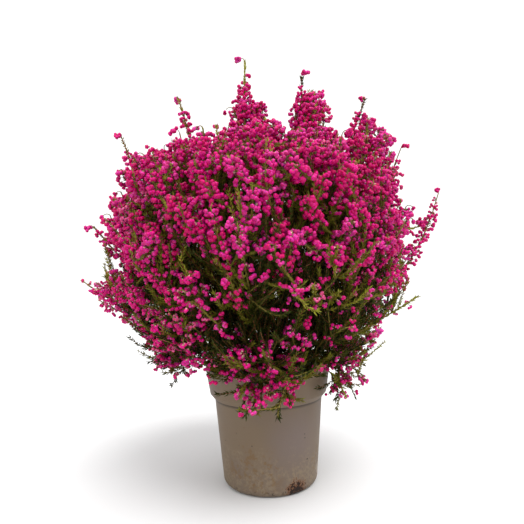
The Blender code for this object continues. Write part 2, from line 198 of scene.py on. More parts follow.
class Finish:
    def __init__(self, name, **constants):
        self.material = bpy.data.materials.new(name)
        self.material.use_nodes = True
        self.tree = self.material.node_tree
        self.give(**constants)

    def feed(self, socket, value):
        if isinstance(value, Field):
            self.tree.links.new(value.socket, socket)
        else:
            socket.default_value = (*value, 1) if socket.type == "RGBA" else value

    def give(self, **values):
        """Sets sockets of the shader to constants or fields."""
        for name, value in values.items():
            self.feed(self.tree.nodes["Principled BSDF"].inputs[name.replace("_", " ")], value)

    def add(self, kind, settings, sockets, output=0):
        node = self.tree.nodes.new(f"ShaderNode{kind}")
        for name, value in settings.items():
            setattr(node, name, value)
        for name, value in sockets.items():
            self.feed(node.inputs[name], value)
        return Field(self, node.outputs[output])

    def place(self, scale=(1, 1, 1)):
        """The point on the piece, in metres, times a scale."""
        here = self.add("TexCoord", {}, {}, "Object")
        return self.add("Mapping", {}, {"Vector": here, "Scale": scale})

    def mottle(self, scale, detail=3.0, rough=0.55, stretch=(1, 1, 1)):
        sockets = {"Vector": self.place(stretch), "Scale": scale, "Detail": detail, "Roughness": rough}
        return self.add("TexNoise", {}, sockets)

    def step(self, value, low, high):
        """0 below the low value, 1 above the high one, soft between."""
        sockets = {"Value": value, "From Min": low, "From Max": high}
        return self.add("MapRange", {"interpolation_type": "SMOOTHSTEP"}, sockets)

    def nearness(self, centre, reach):
        """1 at a place on the piece, falling to 0 at its reach."""
        gap = self.add("VectorMath", {"operation": "DISTANCE"}, {0: self.place(), 1: centre}, "Value")
        return self.step(gap, reach, 0.0)

    def blend(self, share, first, second):
        return self.add("Mix", {"data_type": "RGBA"}, {0: share, 6: first, 7: second}, 2)

    def bump(self, height, strength, distance):
        sockets = {"Height": height, "Strength": strength, "Distance": distance}
        self.give(Normal=self.add("Bump", {}, sockets))


def pot_finish():
    """Taupe plastic with a dried film, stains and specks low down, dirt at the foot, and painted shade under
    the collar's step.
    """
    finish = Finish("pot_plastic", IOR=1.46, Specular_IOR_Level=0.35)
    step, blend, mottle, near = finish.step, finish.blend, finish.mottle, finish.nearness
    cloud = mottle(62, 4, 0.6)
    grain = mottle(430, 5, 0.65)
    crumbs = mottle(1150, 4, 0.7)
    streaks = mottle(270, 5, 0.75)
    height = finish.add("SeparateXYZ", {}, {"Vector": finish.place()}, "Z")
    body = blend(step(mottle(14, 2), 0.40, 0.62), TAUPE, TAUPE_GREY)
    body = blend(near(*MAUVE_AT) * 0.85, body, TAUPE_MAUVE)
    film = step(height + (cloud - 0.5) * 0.14, FILM_HEIGHT, FILM_HEIGHT - FILM_FADE)
    body = blend(film * step(grain + (cloud - 0.5) * 0.5, 0.40, 0.60) * 0.75, body, KHAKI)
    near_stain = near(*STAIN_AT) + near(*SIDE_STAIN_AT)
    stain = step(cloud * 0.40 + streaks * 0.60 + near_stain * 0.04, 0.535, 0.580)
    body = blend(stain * step(near_stain, 0.10, 0.60) * 0.70, body, OCHRE)
    worn = step(near(*WORN_AT) * 0.5 + cloud * 0.6 + grain * 0.6, 0.86, 1.00)
    body = blend(worn * 0.60, body, TAUPE_PALE)
    cells = {"Vector": finish.place(), "Scale": 120.0, "Randomness": 1.0}
    speck = step(finish.add("TexVoronoi", {"feature": "F1"}, cells, "Distance"), 0.130, 0.070)
    fewer = step(mottle(75, 1), 0.54, 0.58)
    low = step(height, 0.064, 0.044)
    body = blend(speck * fewer * low * 0.85, body, DIRT_AND_SHADE_BLACK)
    near_dirt = near(*DIRT_AT)
    crust = step(near_dirt * 0.30 + grain * 0.5 + crumbs * 0.5, 0.630, 0.670)
    body = blend(crust * 0.90, body, RUST)
    core = step(near_dirt * 0.26 + grain * 0.6 + crumbs * 0.4, 0.675, 0.705)
    body = blend(core * 0.95, body, DIRT_AND_SHADE_BLACK)
    foot = step(height, 0.0068, 0.0040) * step(streaks, 0.560, 0.590)
    body = blend(foot * 0.85, body, DIRT_AND_SHADE_BLACK)
    # Painted shade: a dark band just under the collar's step, where the collar shades the body
    below_ledge_shade = step(height, LEDGE_SHADE_FROM, COLLAR_FOOT_HEIGHT)
    ledge_shade = below_ledge_shade * step(height, LEDGE_TOP, COLLAR_FOOT_HEIGHT)
    body = blend(ledge_shade * 0.70, body, DIRT_AND_SHADE_BLACK)
    finish.give(Base_Color=body, Roughness=0.50 + 0.16 * cloud + 0.25 * crust)
    finish.bump(crumbs * 0.35 + crust * 1.6 + film * grain * 0.5, 0.35, 0.0002)
    return finish.material


def pot_profile():
    """From the axis up the inside, over the lip, down the outside and back to the axis."""
    foot = (FOOT_RADIUS - FOOT_ROUNDING, FOOT_ROUNDING)
    step_top = COLLAR_FOOT_HEIGHT + COLLAR_STEP_HEIGHT
    lip = (RIM_RADIUS - LIP_RADIUS, POT_HEIGHT - LIP_RADIUS)
    return [
        (0, WALL),
        *arc(foot, FOOT_ROUNDING - WALL, -90, 0, 6),
        (BODY_TOP_RADIUS - WALL, COLLAR_FOOT_HEIGHT + WALL * 0.6),
        (COLLAR_FOOT_RADIUS - WALL, step_top + WALL * 0.6),
        (RIM_RADIUS - 2 * LIP_RADIUS, POT_HEIGHT - 2 * LIP_RADIUS),
        *arc(lip, LIP_RADIUS, 180, -10, 9),
        (RIM_RADIUS - LIP_FOOT[0], POT_HEIGHT - LIP_FOOT[1]),
        *arc((COLLAR_FOOT_RADIUS - EDGE_ROUNDING, step_top + EDGE_ROUNDING * 0.4), EDGE_ROUNDING, 5, -42, 5),
        (BODY_TOP_RADIUS + UNDERCUT, COLLAR_FOOT_HEIGHT + 4 * CORNER),
        (BODY_TOP_RADIUS + UNDERCUT - 2 * CORNER, COLLAR_FOOT_HEIGHT),
        (BODY_TOP_RADIUS - CORNER, COLLAR_FOOT_HEIGHT + CORNER),
        (BODY_TOP_RADIUS - CORNER, COLLAR_FOOT_HEIGHT - 4 * CORNER),
        *arc(foot, FOOT_ROUNDING, 0, -90, 10),
        (0, 0),
    ]


def drain_plugs():
    bm = bmesh.new()
    for i in range(DRAIN_HOLES):
        turn = 2 * math.pi * i / DRAIN_HOLES
        place = Matrix.Translation((DRAIN_RING * math.cos(turn), DRAIN_RING * math.sin(turn), WALL / 2))
        bmesh.ops.create_cone(
            bm, cap_ends=True, segments=DRAIN_SIDES, radius1=DRAIN_RADIUS, radius2=DRAIN_RADIUS,
            depth=4 * WALL, matrix=place,
        )
    return bm


pot_blank = add_object("pot_blank", mesh_of("pot_blank", turned(pot_profile(), POT_STEPS)))
plugs = add_object("drain_plugs", mesh_of("drain_plugs", drain_plugs()))
cut = pot_blank.modifiers.new("Drain holes", "BOOLEAN")
cut.operation = "DIFFERENCE"
cut.object = plugs
bpy.context.view_layer.update()
drilled = pot_blank.evaluated_get(bpy.context.evaluated_depsgraph_get())
pot_mesh = bpy.data.meshes.new_from_object(drilled)
for helper in (pot_blank, plugs):
    bpy.data.objects.remove(helper)
pot_mesh.shade_smooth()
pot_mesh.set_sharp_from_angle(angle=SHARP_ANGLE)
add_piece("pot_shell", pot_mesh, pot_finish(), ["pot"])


# Growing medium: moist dark peat with bits of bark, filled to 1 cm under the lip and slightly domed. Its top
# is rough with crumbs, and loose bits of bark lie on it.

SOIL_TOP = 0.0980
SOIL_EDGE_DROP = 0.0020
SOIL_GAP = 0.0003
SOIL_STEPS = 96
SOIL_RINGS = 26
SOIL_REACH = 0.056
CRUMB_REACH = 0.0535
CRUMB_HEIGHT = 0.0016
CRUMB_SCALE = 320
CRUMB_BAND = 0.0002
CRUMB_COUNT = 620
CRUMB_SIZES = (0.0008, 0.0026)
PEATS = ((0.022, 0.013, 0.008), (0.060, 0.036, 0.021))
BARK_BITS = ((0.026, 0.013, 0.008), (0.085, 0.040, 0.020))


def two_tone(name, dark, pale, grain, edges, rough, ridges=None, **constants):
    """Two tones dealt by a mottle, which may stand up in ridges of a strength and height."""
    finish = Finish(name, **constants)
    tone = finish.step(finish.mottle(*grain), *edges)
    finish.give(Base_Color=finish.blend(tone, dark, pale), Roughness=rough[0] + rough[1] * tone)
    if ridges:
        finish.bump(tone, *ridges)
    return finish


def soil_finish(name, dark, pale):
    finish = two_tone(name, dark, pale, (900, 5, 0.7), (0.42, 0.68), (0.82, 0.15))
    finish.bump(finish.mottle(1600, 4, 0.7), 0.8, 0.0006)
    return finish.material


def triangles_of(bm):
    """The points and triangles of a shape."""
    bmesh.ops.triangulate(bm, faces=bm.faces)
    bm.verts.index_update()
    points = np.array([vert.co for vert in bm.verts])
    faces = np.array([[vert.index for vert in face.verts] for face in bm.faces])
    bm.free()
    return points, faces


def turns_to(directions, spins):
    """Rotations that carry +Z to each direction, turned round it by a spin."""
    ahead = directions / np.linalg.norm(directions, axis=1, keepdims=True)
    helper = np.where(np.abs(ahead[:, 2:]) < 0.9, [[0.0, 0.0, 1.0]], [[1.0, 0.0, 0.0]])
    side = np.cross(helper, ahead)
    side /= np.linalg.norm(side, axis=1, keepdims=True)
    over = np.cross(ahead, side)
    cos, sin = np.cos(spins)[:, None], np.sin(spins)[:, None]
    return np.stack([side * cos + over * sin, over * cos - side * sin, ahead], axis=2)


def placed(points, places, turns, sizes):
    """Copies of a shape's points, scaled, turned and moved."""
    scaled = points[None] * np.asarray(sizes).reshape(len(places), 1, -1)
    return np.einsum("nij,nvj->nvi", turns, scaled) + places[:, None]


def add_copies(name, copies, faces, material, replaced=(), along=None):
    """One piece of all the copies of a shape, which may keep how far along it each point is."""
    count, size = copies.shape[:2]
    every = (faces[None] + np.arange(count)[:, None, None] * size).reshape(-1, 3)
    mesh = bpy.data.meshes.new(name)
    mesh.from_pydata(copies.reshape(-1, 3), [], every)
    if along is not None:
        mesh.attributes.new("along", "FLOAT", "POINT").data.foreach_set("value", np.tile(along, count))
    mesh.shade_smooth()
    add_piece(name, mesh, material, replaced)


def soil_profile():
    """From the axis over the top, down inside the wall and back to the axis."""
    foot = (FOOT_RADIUS - FOOT_ROUNDING, FOOT_ROUNDING)
    reach = WALL + SOIL_GAP
    edge = COLLAR_FOOT_RADIUS + (RIM_RADIUS - COLLAR_FOOT_RADIUS) * 0.5 - WALL - 2 * SOIL_GAP
    steps = [i / SOIL_RINGS for i in range(SOIL_RINGS + 1)]
    top = [(edge * step, SOIL_TOP - SOIL_EDGE_DROP * step**2) for step in steps]
    return [
        *top,
        (COLLAR_FOOT_RADIUS - reach, COLLAR_FOOT_HEIGHT + COLLAR_STEP_HEIGHT),
        (BODY_TOP_RADIUS - reach, COLLAR_FOOT_HEIGHT),
        *arc(foot, FOOT_ROUNDING - reach, 0, -90, 5),
        (0, reach),
    ]


soil_bm = turned(soil_profile(), SOIL_STEPS)
for vert in soil_bm.verts:
    if vert.co.z > SOIL_TOP - SOIL_EDGE_DROP - CRUMB_BAND:
        rough = noise.fractal(vert.co * CRUMB_SCALE, 0.8, 2.0, 4) * 0.5 - 0.15
        vert.co.z += max(-1.0, min(rough, 0.25)) * CRUMB_HEIGHT
soil_mesh = mesh_of("soil_fill", soil_bm)
soil_mesh.shade_smooth()
add_piece("soil_fill", soil_mesh, soil_finish("peat", *PEATS), ["soil"])

crumb_bm = bmesh.new()
bmesh.ops.create_icosphere(crumb_bm, subdivisions=1, radius=0.5)
crumb = triangles_of(crumb_bm)
draw = np.random.default_rng(5)
crumb_out = CRUMB_REACH * np.sqrt(draw.uniform(0.03, 1, CRUMB_COUNT))
crumb_turn = draw.uniform(0, 2 * math.pi, CRUMB_COUNT)
crumb_size = draw.uniform(*CRUMB_SIZES, (CRUMB_COUNT, 1)) * draw.uniform(0.45, 1.25, (CRUMB_COUNT, 3))
crumb_up = SOIL_TOP - SOIL_EDGE_DROP * (crumb_out / SOIL_REACH) ** 2 + crumb_size[:, 2] * 0.15
crumb_places = np.stack([crumb_out * np.cos(crumb_turn), crumb_out * np.sin(crumb_turn), crumb_up], axis=1)
crumb_tilts = turns_to(draw.normal(0, 0.35, (CRUMB_COUNT, 3)) + [0, 0, 1], draw.uniform(0, 6, CRUMB_COUNT))
crumb_copies = placed(crumb[0], crumb_places, crumb_tilts, crumb_size)
add_copies("bark_crumbs", crumb_copies, crumb[1], soil_finish("bark_bits", *BARK_BITS))


# Stem and boughs: a short woody stem with a flare at the soil, and twenty-eight thin wiry boughs that leave
# it in four whorls. The bark is thin, reddish brown and cracked along its length.

STEM_OUTLINE = [(0.0003, 0.0085), (0.0018, 0.0068), (0.0050, 0.0055), (0.0160, 0.0052), (0.0270, 0.0042)]
STEM_LEAN = 0.0015
STEM_LEANS_FROM = 0.0050
LIMB_GAP = 0.0003
BOUGH_RADIUS = 0.0016
BOUGH_FOOT_RADIUS = 0.0021
BOUGH_SWELL = 0.06
BOUGH_TIP_RADIUS = 0.0012
BOUGH_SHARE = 0.34
STATIONS = {"top": 0.0235, "upper": 0.0180, "middle": 0.0125, "foot": 0.0065}
BOUGH_SIDES = 10
BOUGH_RINGS = 22
STEM_SIDES = 28
STEM_RINGS = 34
# How finely the ridges and the flakes of the bark follow each other, and how far they stand up
RIDGE_SCALE = (900, 900, 130)
FLAKE_SCALE = 420
STEM_RELIEF = 0.20
BOUGH_RELIEF = 0.22
BARK_RED = (0.120, 0.048, 0.022)
BARK_DARK = (0.034, 0.015, 0.009)
BARK_GREY = (0.170, 0.120, 0.085)

# The five rings of plumes: station, degrees off the vertical at the start, share of the length that the
# bend takes, how far side shoots spread, how far the tips of finer twigs lift, how far out the leafy ones
# reach, and the share that flowers
Ring = namedtuple("Ring", "station lean bend spread lift leafy bloom")
RINGS = {
    "crest": Ring("top", 22, 0.50, 0.042, 0.15, 0.78, 1.00),
    "shoulder": Ring("upper", 46, 0.48, 0.042, 0.35, 0.78, 1.00),
    "flank": Ring("middle", 64, 0.46, 0.042, 0.50, 0.82, 1.00),
    "low": Ring("foot", 72, 0.50, 0.024, 0.20, 1.22, 1.00),
    "skirt": Ring("foot", 58, 0.84, 0.022, 0.30, 1.60, 0.32),
}
SIDE_SHOOTS = 5

# Tip of each plume: degrees round the pot from +X towards +Y, distance from its axis, height
TIPS = {
    "crest_left": (250, 0.037, 0.407),
    "crest_right": (310, 0.059, 0.382),
    "crest_far_right": (343, 0.102, 0.355),
    "crest_far_left": (208, 0.084, 0.356),
    "crest_back_left": (136, 0.068, 0.362),
    "crest_back_right": (46, 0.072, 0.362),
    "shoulder_left": (189, 0.134, 0.328),
    "shoulder_right": (356, 0.136, 0.314),
    "shoulder_back": (91, 0.108, 0.336),
    "shoulder_front_left": (237, 0.117, 0.305),
    "shoulder_front_right": (302, 0.117, 0.300),
    "flank_left": (183, 0.164, 0.245),
    "flank_right": (2, 0.177, 0.273),
    "flank_back_left": (145, 0.152, 0.270),
    "flank_back_right": (37, 0.152, 0.262),
    "flank_front_left": (217, 0.152, 0.238),
    "flank_front_right": (322, 0.144, 0.235),
    "flank_front": (263, 0.151, 0.228),
    "low_left": (188, 0.176, 0.197),
    "low_right": (356, 0.156, 0.176),
    "low_front_left": (228, 0.126, 0.158),
    "low_front_right": (312, 0.122, 0.152),
    "low_back_left": (112, 0.152, 0.222),
    "low_back_right": (66, 0.148, 0.206),
    "skirt_front": (266, 0.094, 0.090),
    "skirt_left": (199, 0.106, 0.118),
    "skirt_right": (338, 0.084, 0.082),
    "skirt_back": (90, 0.102, 0.106),
}


def polar(turn, out, height):
    return Vector((out * math.cos(turn), out * math.sin(turn), height))


def bezier(start, bend, tip, share):
    rest = 1 - share
    return start * (rest * rest) + bend * (2 * rest * share) + tip * (share * share)


def traced(curves, shares):
    """Points on curves, each a start, bend and tip, at shares of their run."""
    return np.array([[bezier(*curve, share) for share in shares] for curve in curves])


def ring_of(name):
    return RINGS[name.split("_")[0]]


def stem_axis(height):
    """The middle of the woody stem, which leans a little, at a height above the soil."""
    share = max(height - STEM_LEANS_FROM, 0) / (STEM_OUTLINE[-1][0] - STEM_LEANS_FROM)
    return Vector((STEM_LEAN * share, 0, SOIL_TOP + height))


def stem_radius(height):
    return np.interp(height, *zip(*STEM_OUTLINE))


def start_turns(station):
    """Boughs of a whorl leave the stem evenly, in the order of their tips."""
    names = [name for name in TIPS if ring_of(name).station == station]
    names.sort(key=lambda name: TIPS[name][0])
    step = 2 * math.pi / len(names)
    drifts = [math.radians(TIPS[name][0]) - step * i for i, name in enumerate(names)]
    first = sum(drifts) / len(drifts)
    return {name: first + step * i for i, name in enumerate(names)}


def plume_paths():
    """The start, bend and tip of the one curve that a plume's bough and leader follow."""
    paths = {}
    for station, height in STATIONS.items():
        for name, turn in start_turns(station).items():
            lean = math.radians(ring_of(name).lean)
            tip_turn, tip_out, tip_height = TIPS[name]
            tip = polar(math.radians(tip_turn), tip_out, tip_height)
            out = stem_radius(height) + LIMB_GAP + BOUGH_RADIUS * math.cos(lean)
            start = stem_axis(height) + polar(turn, out, 0)
            aim = polar(math.radians(tip_turn), math.sin(lean), math.cos(lean))
            bend = start + aim * (tip - start).length * ring_of(name).bend
            paths[name] = (start, bend, tip)
    return paths


def rod(sides, rings):
    """A closed rod of unit radius from 0 to 1 along Z, in rings of points."""
    bm = bmesh.new()
    half_up = Matrix.Translation((0, 0, 0.5))
    bmesh.ops.create_cone(bm, cap_ends=True, segments=sides, radius1=1, radius2=1, depth=1, matrix=half_up)
    for i in range(1, rings - 1):
        everything = bm.verts[:] + bm.edges[:] + bm.faces[:]
        level = (0, 0, i / (rings - 1))
        bmesh.ops.bisect_plane(bm, geom=everything, plane_co=level, plane_no=(0, 0, 1), dist=0.000001)
    bmesh.ops.recalc_face_normals(bm, faces=bm.faces)
    return triangles_of(bm)


def levels_of(points, lines):
    """The point of its line that each point of a rod goes with."""
    return np.rint(points[:, 2] * (lines.shape[1] - 1)).astype(int)


def bent(points, lines, radii):
    """Copies of a rod, bent along lines of points and as thick as the radii there."""
    level = levels_of(points, lines)
    ahead = np.gradient(lines, axis=1)
    ahead /= np.linalg.norm(ahead, axis=2, keepdims=True)
    along = np.abs(lines[:, -1] - lines[:, 0])
    helper = np.eye(3)[along.argmin(axis=1)][:, None]
    side = np.cross(np.broadcast_to(helper, ahead.shape), ahead)
    side /= np.linalg.norm(side, axis=2, keepdims=True)
    over = np.cross(ahead, side)
    across = points[None, :, :1] * side[:, level] + points[None, :, 1:2] * over[:, level]
    return lines[:, level] + across * np.broadcast_to(radii, lines.shape[:2])[:, level, None]


def with_bark(points, lines, radii, relief):
    """Bent limbs with ridges of bark that run along them."""
    copies = bent(points, lines, radii)
    for copy, centre in zip(copies, lines[:, levels_of(points, lines)]):
        for i, point in enumerate(copy):
            ridge = noise.noise(Vector(point * RIDGE_SCALE)) + 0.6 * noise.noise(Vector(point * FLAKE_SCALE))
            copy[i] += (point - centre[i]) * ridge * relief
    return copies


def bark_finish():
    finish = Finish("bark")
    cracks = finish.step(finish.mottle(1400, 4, 0.6, (1, 1, 0.16)), 0.38, 0.62)
    flakes = finish.step(finish.mottle(420, 3), 0.52, 0.66)
    bark = finish.blend(flakes * 0.45, finish.blend(cracks, BARK_DARK, BARK_RED), BARK_GREY)
    finish.give(Base_Color=bark, Roughness=0.72 + 0.18 * cracks)
    finish.bump(cracks, 0.9, 0.0004)
    return finish.material


paths = plume_paths()
bark = bark_finish()

stem_unit = rod(STEM_SIDES, STEM_RINGS)
stem_heights = np.linspace(STEM_OUTLINE[0][0], STEM_OUTLINE[-1][0], STEM_RINGS)
stem_line = np.array([[stem_axis(height) for height in stem_heights]])
stem_copies = with_bark(stem_unit[0], stem_line, stem_radius(stem_heights), STEM_RELIEF)
add_copies("woody_stem", stem_copies, stem_unit[1], bark, ["main_stem"])

bough_unit = rod(BOUGH_SIDES, BOUGH_RINGS)
bough_shares = np.linspace(0, 1, BOUGH_RINGS)
bough_sizes = [BOUGH_FOOT_RADIUS, BOUGH_RADIUS, BOUGH_TIP_RADIUS]
bough_radii = np.interp(bough_shares, [0, BOUGH_SWELL, 1], bough_sizes)
bough_lines = traced(paths.values(), BOUGH_SHARE * bough_shares)
bough_copies = with_bark(bough_unit[0], bough_lines, bough_radii, BOUGH_RELIEF)
add_copies("boughs", bough_copies, bough_unit[1], bark, [f"{name}_bough" for name in paths])


# Shoots and twigs: from each bough a leader runs on to its plume's tip, with side shoots in golden turns,
# and finer twigs on those. They are as thin as wire, brown where they are old and olive green near the tips.

AXIS_SAMPLES = 36
SPACE_MARGIN = 0.0006
POT_CLEARANCE = 0.0018
GOLDEN_TURN = math.radians(137.508)
FIRST_SHOOT = 0.03
LAST_SHOOT = 0.62
SHOOT_RUN = (0.38, 0.56)
SHOOT_WIDTHS = (1.0, 0.85, 0.7, 0.55, 0.4)
SHOOT_POINTS = (0, 0.5, 1)
TIP_ROOM = 0.006
SEED = 71

CROWN_RADIUS = 0.140
CROWN_SHIFT = -0.005
CROWN_MIDDLE = 0.215
CROWN_RISE = 0.103
CROWN_POWER = 4.0
TAPER_BELOW = 0.190
TAPER = 0.54
CROWN_FOOT = 0.112
BELOW_FOOT = 1.1
SPIRES_FROM = 0.285
SPIRE_WIDTH = 0.030
# The spires that rise out of the crown's flat top: place from above, height of the tip, half width per height
SPIRES = [
    (-0.012, -0.030, 0.378, 0.50), (0.047, -0.034, 0.379, 0.48), (0.105, -0.018, 0.353, 0.70),
    (-0.045, 0.045, 0.352, 0.60), (0.050, 0.052, 0.352, 0.60), (-0.105, -0.010, 0.336, 0.90),
]
# How much of its path a leader follows, where it stops short of the tip
LEADER_ENDS = {"crest_left": 0.948, "crest_right": 0.958, "low_left": 0.970, "low_right": 0.930}
# How far the bend of a leader is moved, where it sags out of the crown before it turns up
LEADER_SAGS = {"flank_right": (0.018, 0, -0.022)}
TWIG_TRIES = 110
# Finer twigs are dealt out first to the plumes that need them most, by number and lowest height of their
# tips, and then to the whole crown
TWIG_ROUNDS = [
    ("crest_left", 13, 0.342), ("crest_right", 13, 0.342), ("crest_left", 14, 0.320),
    ("crest_right", 16, 0.320), ("crest_far_right", 16, 0.315), ("shoulder_right", 10, 0.290),
    ("shoulder_left", 12, 0.290), ("crest_far_left", 14, 0.305), ("crest_back_left", 12, 0.312),
    ("crest_back_right", 12, 0.312), ("skirt_front", 6, 0.130), ("skirt_front", 24, 0.080),
    ("skirt_left", 12, 0.100), ("skirt_right", 18, 0.085), ("skirt_back", 10, 0.090),
    ("low_left", 8, 0.140), ("flank_left", 12, 0.190), ("low_right", 24, 0.110),
    ("low_front_right", 8, 0.110), ("low_front_left", 8, 0.110), ("flank_front_left", 8, 0.180),
    ("flank_right", 14, 0.215), ("", 50, 0.300), ("", 420, 0.0),
]
# How far from their leaders the twigs of plumes that stand out of the crown may end
LOOSE = {
    "low_left": 0.011, "flank_right": 0.009, "skirt_front": 0.032, "skirt_left": 0.015, "skirt_right": 0.020,
    "skirt_back": 0.020,
}
TWIG_ROOTS = (0.04, 0.80)
TWIG_RUN = (0.35, 0.80)
TWIG_SPREAD = (0.008, 0.040)
TWIG_ROOM = 0.0056
# Finer twigs may reach a little into the next plume where it leaves a gap
TWIG_MARGIN = -0.010
SPIKE_POINTS = (0.45, 0.70, 0.95)
ROOM_WEIGHTS = ([0.02, 0.30, 0.60, 1.00], [0.25, 0.80, 1.05, 1.00])
BOX_ROOM = 0.0045
SHOOT_RINGS = 9
SHOOT_SIDES = 4
SHOOT_RADII = (0.0011, 0.00050)
TWIG_RADII = (0.00070, 0.00036)
GREEN_FROM = 0.30

# Where leafy twigs stand on a limb, from and to, how far apart they are, and how long they get
LEAFY_ON_BOUGH = (0.22, 0.98, 0.0026, (0.028, 0.055))
LEAFY_ON_SHOOT = (0.02, 0.80, 0.0046, (0.022, 0.042))
LEAFY_ON_TWIG = (0.04, 0.55, 0.0072, (0.014, 0.028))
LEAFY_LEAN = math.radians(44)
LEAFY_POINTS = (0.3, 0.65, 1.0)
LEAFY_LIFT = 0.50
LEAFY_RINGS = 4
LEAFY_RADII = (0.00042, 0.00026)

TWIG_BROWNS = ((0.100, 0.032, 0.012), (0.210, 0.070, 0.024))
TWIG_GREENS = ((0.125, 0.080, 0.016), (0.205, 0.170, 0.030))


class Spaces:
    """Divides the crown: a point belongs to the plume whose path it is nearest to."""

    def __init__(self, paths):
        self.names = list(paths)
        shares = np.linspace(0, 1, AXIS_SAMPLES)
        self.lines = traced(paths.values(), shares)
        along = np.clip((shares - BOUGH_SHARE) / (1 - BOUGH_SHARE), 0, 1)[:, None]
        for name, move in LEADER_SAGS.items():
            self.lines[self.names.index(name)] += 2 * along * (1 - along) * [move]

    def gap(self, name, point):
        return np.linalg.norm(self.lines[self.names.index(name)] - np.array(point), axis=1).min()

    def follows(self, name, point):
        """True near the path of a plume that stands out, and above its tip if it droops."""
        drooped = name.startswith("skirt") and point[2] <= TIPS[name][2]
        return self.gap(name, point) < LOOSE.get(name, 0) and not drooped

    def holds(self, name, points, margin=SPACE_MARGIN):
        """True where all the points are in the plume's space, clear of pot and limbs."""
        points = np.asarray(points, float).reshape(-1, 3)
        gaps = np.linalg.norm(points[:, None, None, :] - self.lines[None], axis=3)
        nearest = gaps.min(axis=2)
        index = self.names.index(name)
        own = nearest[:, index]
        others = np.delete(nearest, index, axis=1).min(axis=1)
        bare = int(BOUGH_SHARE * AXIS_SAMPLES) + 1
        from_bough = gaps[:, index, :bare].min(axis=1)
        clear = (own + 2 * margin < others) & (from_bough > 2 * BOUGH_RADIUS)
        return bool(clear.all()) and clears_pot(points)


def clears_pot(points):
    """True where all the points are above the rim, outside it, or beyond a slope over its edge."""
    up = points[:, 2] - POT_HEIGHT
    out = np.hypot(points[:, 0], points[:, 1]) - RIM_RADIUS
    return any((reach > POT_CLEARANCE).all() for reach in (up, out, (up + out) / math.sqrt(2)))


def crown_level(point):
    """0 in the crown's middle and 1 on its outline, with a taper to the pot and spires."""
    radius = CROWN_RADIUS - TAPER * max(0, TAPER_BELOW - point[2])
    out = math.hypot(point[0] - CROWN_SHIFT, point[1]) / radius
    level = out**CROWN_POWER + (max(0, point[2] - CROWN_MIDDLE) / CROWN_RISE) ** CROWN_POWER
    for across, deep, top, slope in SPIRES:
        width = min((top - point[2]) * slope, SPIRE_WIDTH)
        if width > 0 and point[2] > SPIRES_FROM:
            level = min(level, max(0.5, math.hypot(point[0] - across, point[1] - deep) / width))
    return max(level, BELOW_FOOT) if point[2] < CROWN_FOOT else level


def within_box(points, margin=BOX_ROOM):
    """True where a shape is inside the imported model's box, with a margin round it."""
    return ((points > box_low + margin) & (points < box_high - margin)).all(axis=(-2, -1))


def side_direction(along, turn):
    """A unit vector square to a path, turned round it."""
    across = along.cross(Vector((0, 0, 1)))
    if across.length < 0.1:
        across = along.cross(Vector((0, 1, 0)))
    across.normalize()
    return (Matrix.Rotation(turn, 3, along.normalized()) @ across).normalized()


def length_of(curve):
    return (curve[1] - curve[0]).length + (curve[2] - curve[1]).length


def heading_at(curve, at, reach=0.03):
    return (bezier(*curve, min(at + reach, 1.0)) - bezier(*curve, max(at - reach, 0))).normalized()


def shoots_of(name, path):
    """A plume's leader and side shoots, each a root, a bend and a tip."""
    draw = random.Random(f"{SEED} {name}")
    start, bend, tip = path
    end = LEADER_ENDS.get(name, 1.0)
    leader_bend = start.lerp(bend, end).lerp(bend.lerp(tip, end), BOUGH_SHARE)
    leader_bend += Vector(LEADER_SAGS.get(name, (0, 0, 0)))
    leader = (bezier(*path, BOUGH_SHARE), leader_bend, bezier(*path, end))
    shoots = [leader]
    turn = draw.uniform(0, 2 * math.pi)
    for i in range(SIDE_SHOOTS):
        share = FIRST_SHOOT + (LAST_SHOOT - FIRST_SHOOT) * (i + 0.5) / SIDE_SHOOTS
        root_at = BOUGH_SHARE + (1 - BOUGH_SHARE) * share
        end_at = min(1.0, root_at + draw.uniform(*SHOOT_RUN))
        reach = draw.uniform(0.75, 1.0)
        turn += GOLDEN_TURN
        root = bezier(*leader, (root_at - BOUGH_SHARE) / (end - BOUGH_SHARE))
        heading = bezier(*leader, (end_at - BOUGH_SHARE) / (end - BOUGH_SHARE)) - root
        for width in SHOOT_WIDTHS:
            sideways = side_direction(heading, turn) * ring_of(name).spread * width
            tip = root + heading * reach * (0.6 + 0.4 * width) + sideways
            bend = root + heading * reach * 0.45 + sideways * 0.95
            points = traced([(root, bend, tip)], SHOOT_POINTS)[0]
            fits = spaces.holds(name, points[1:]) and spaces.holds(name, tip, TIP_ROOM)
            kept_in = crown_level(tip) <= 1 or spaces.follows(name, tip)
            if kept_in and fits and clears_pot(points):
                shoots.append((root, bend, tip))
                break
    return shoots


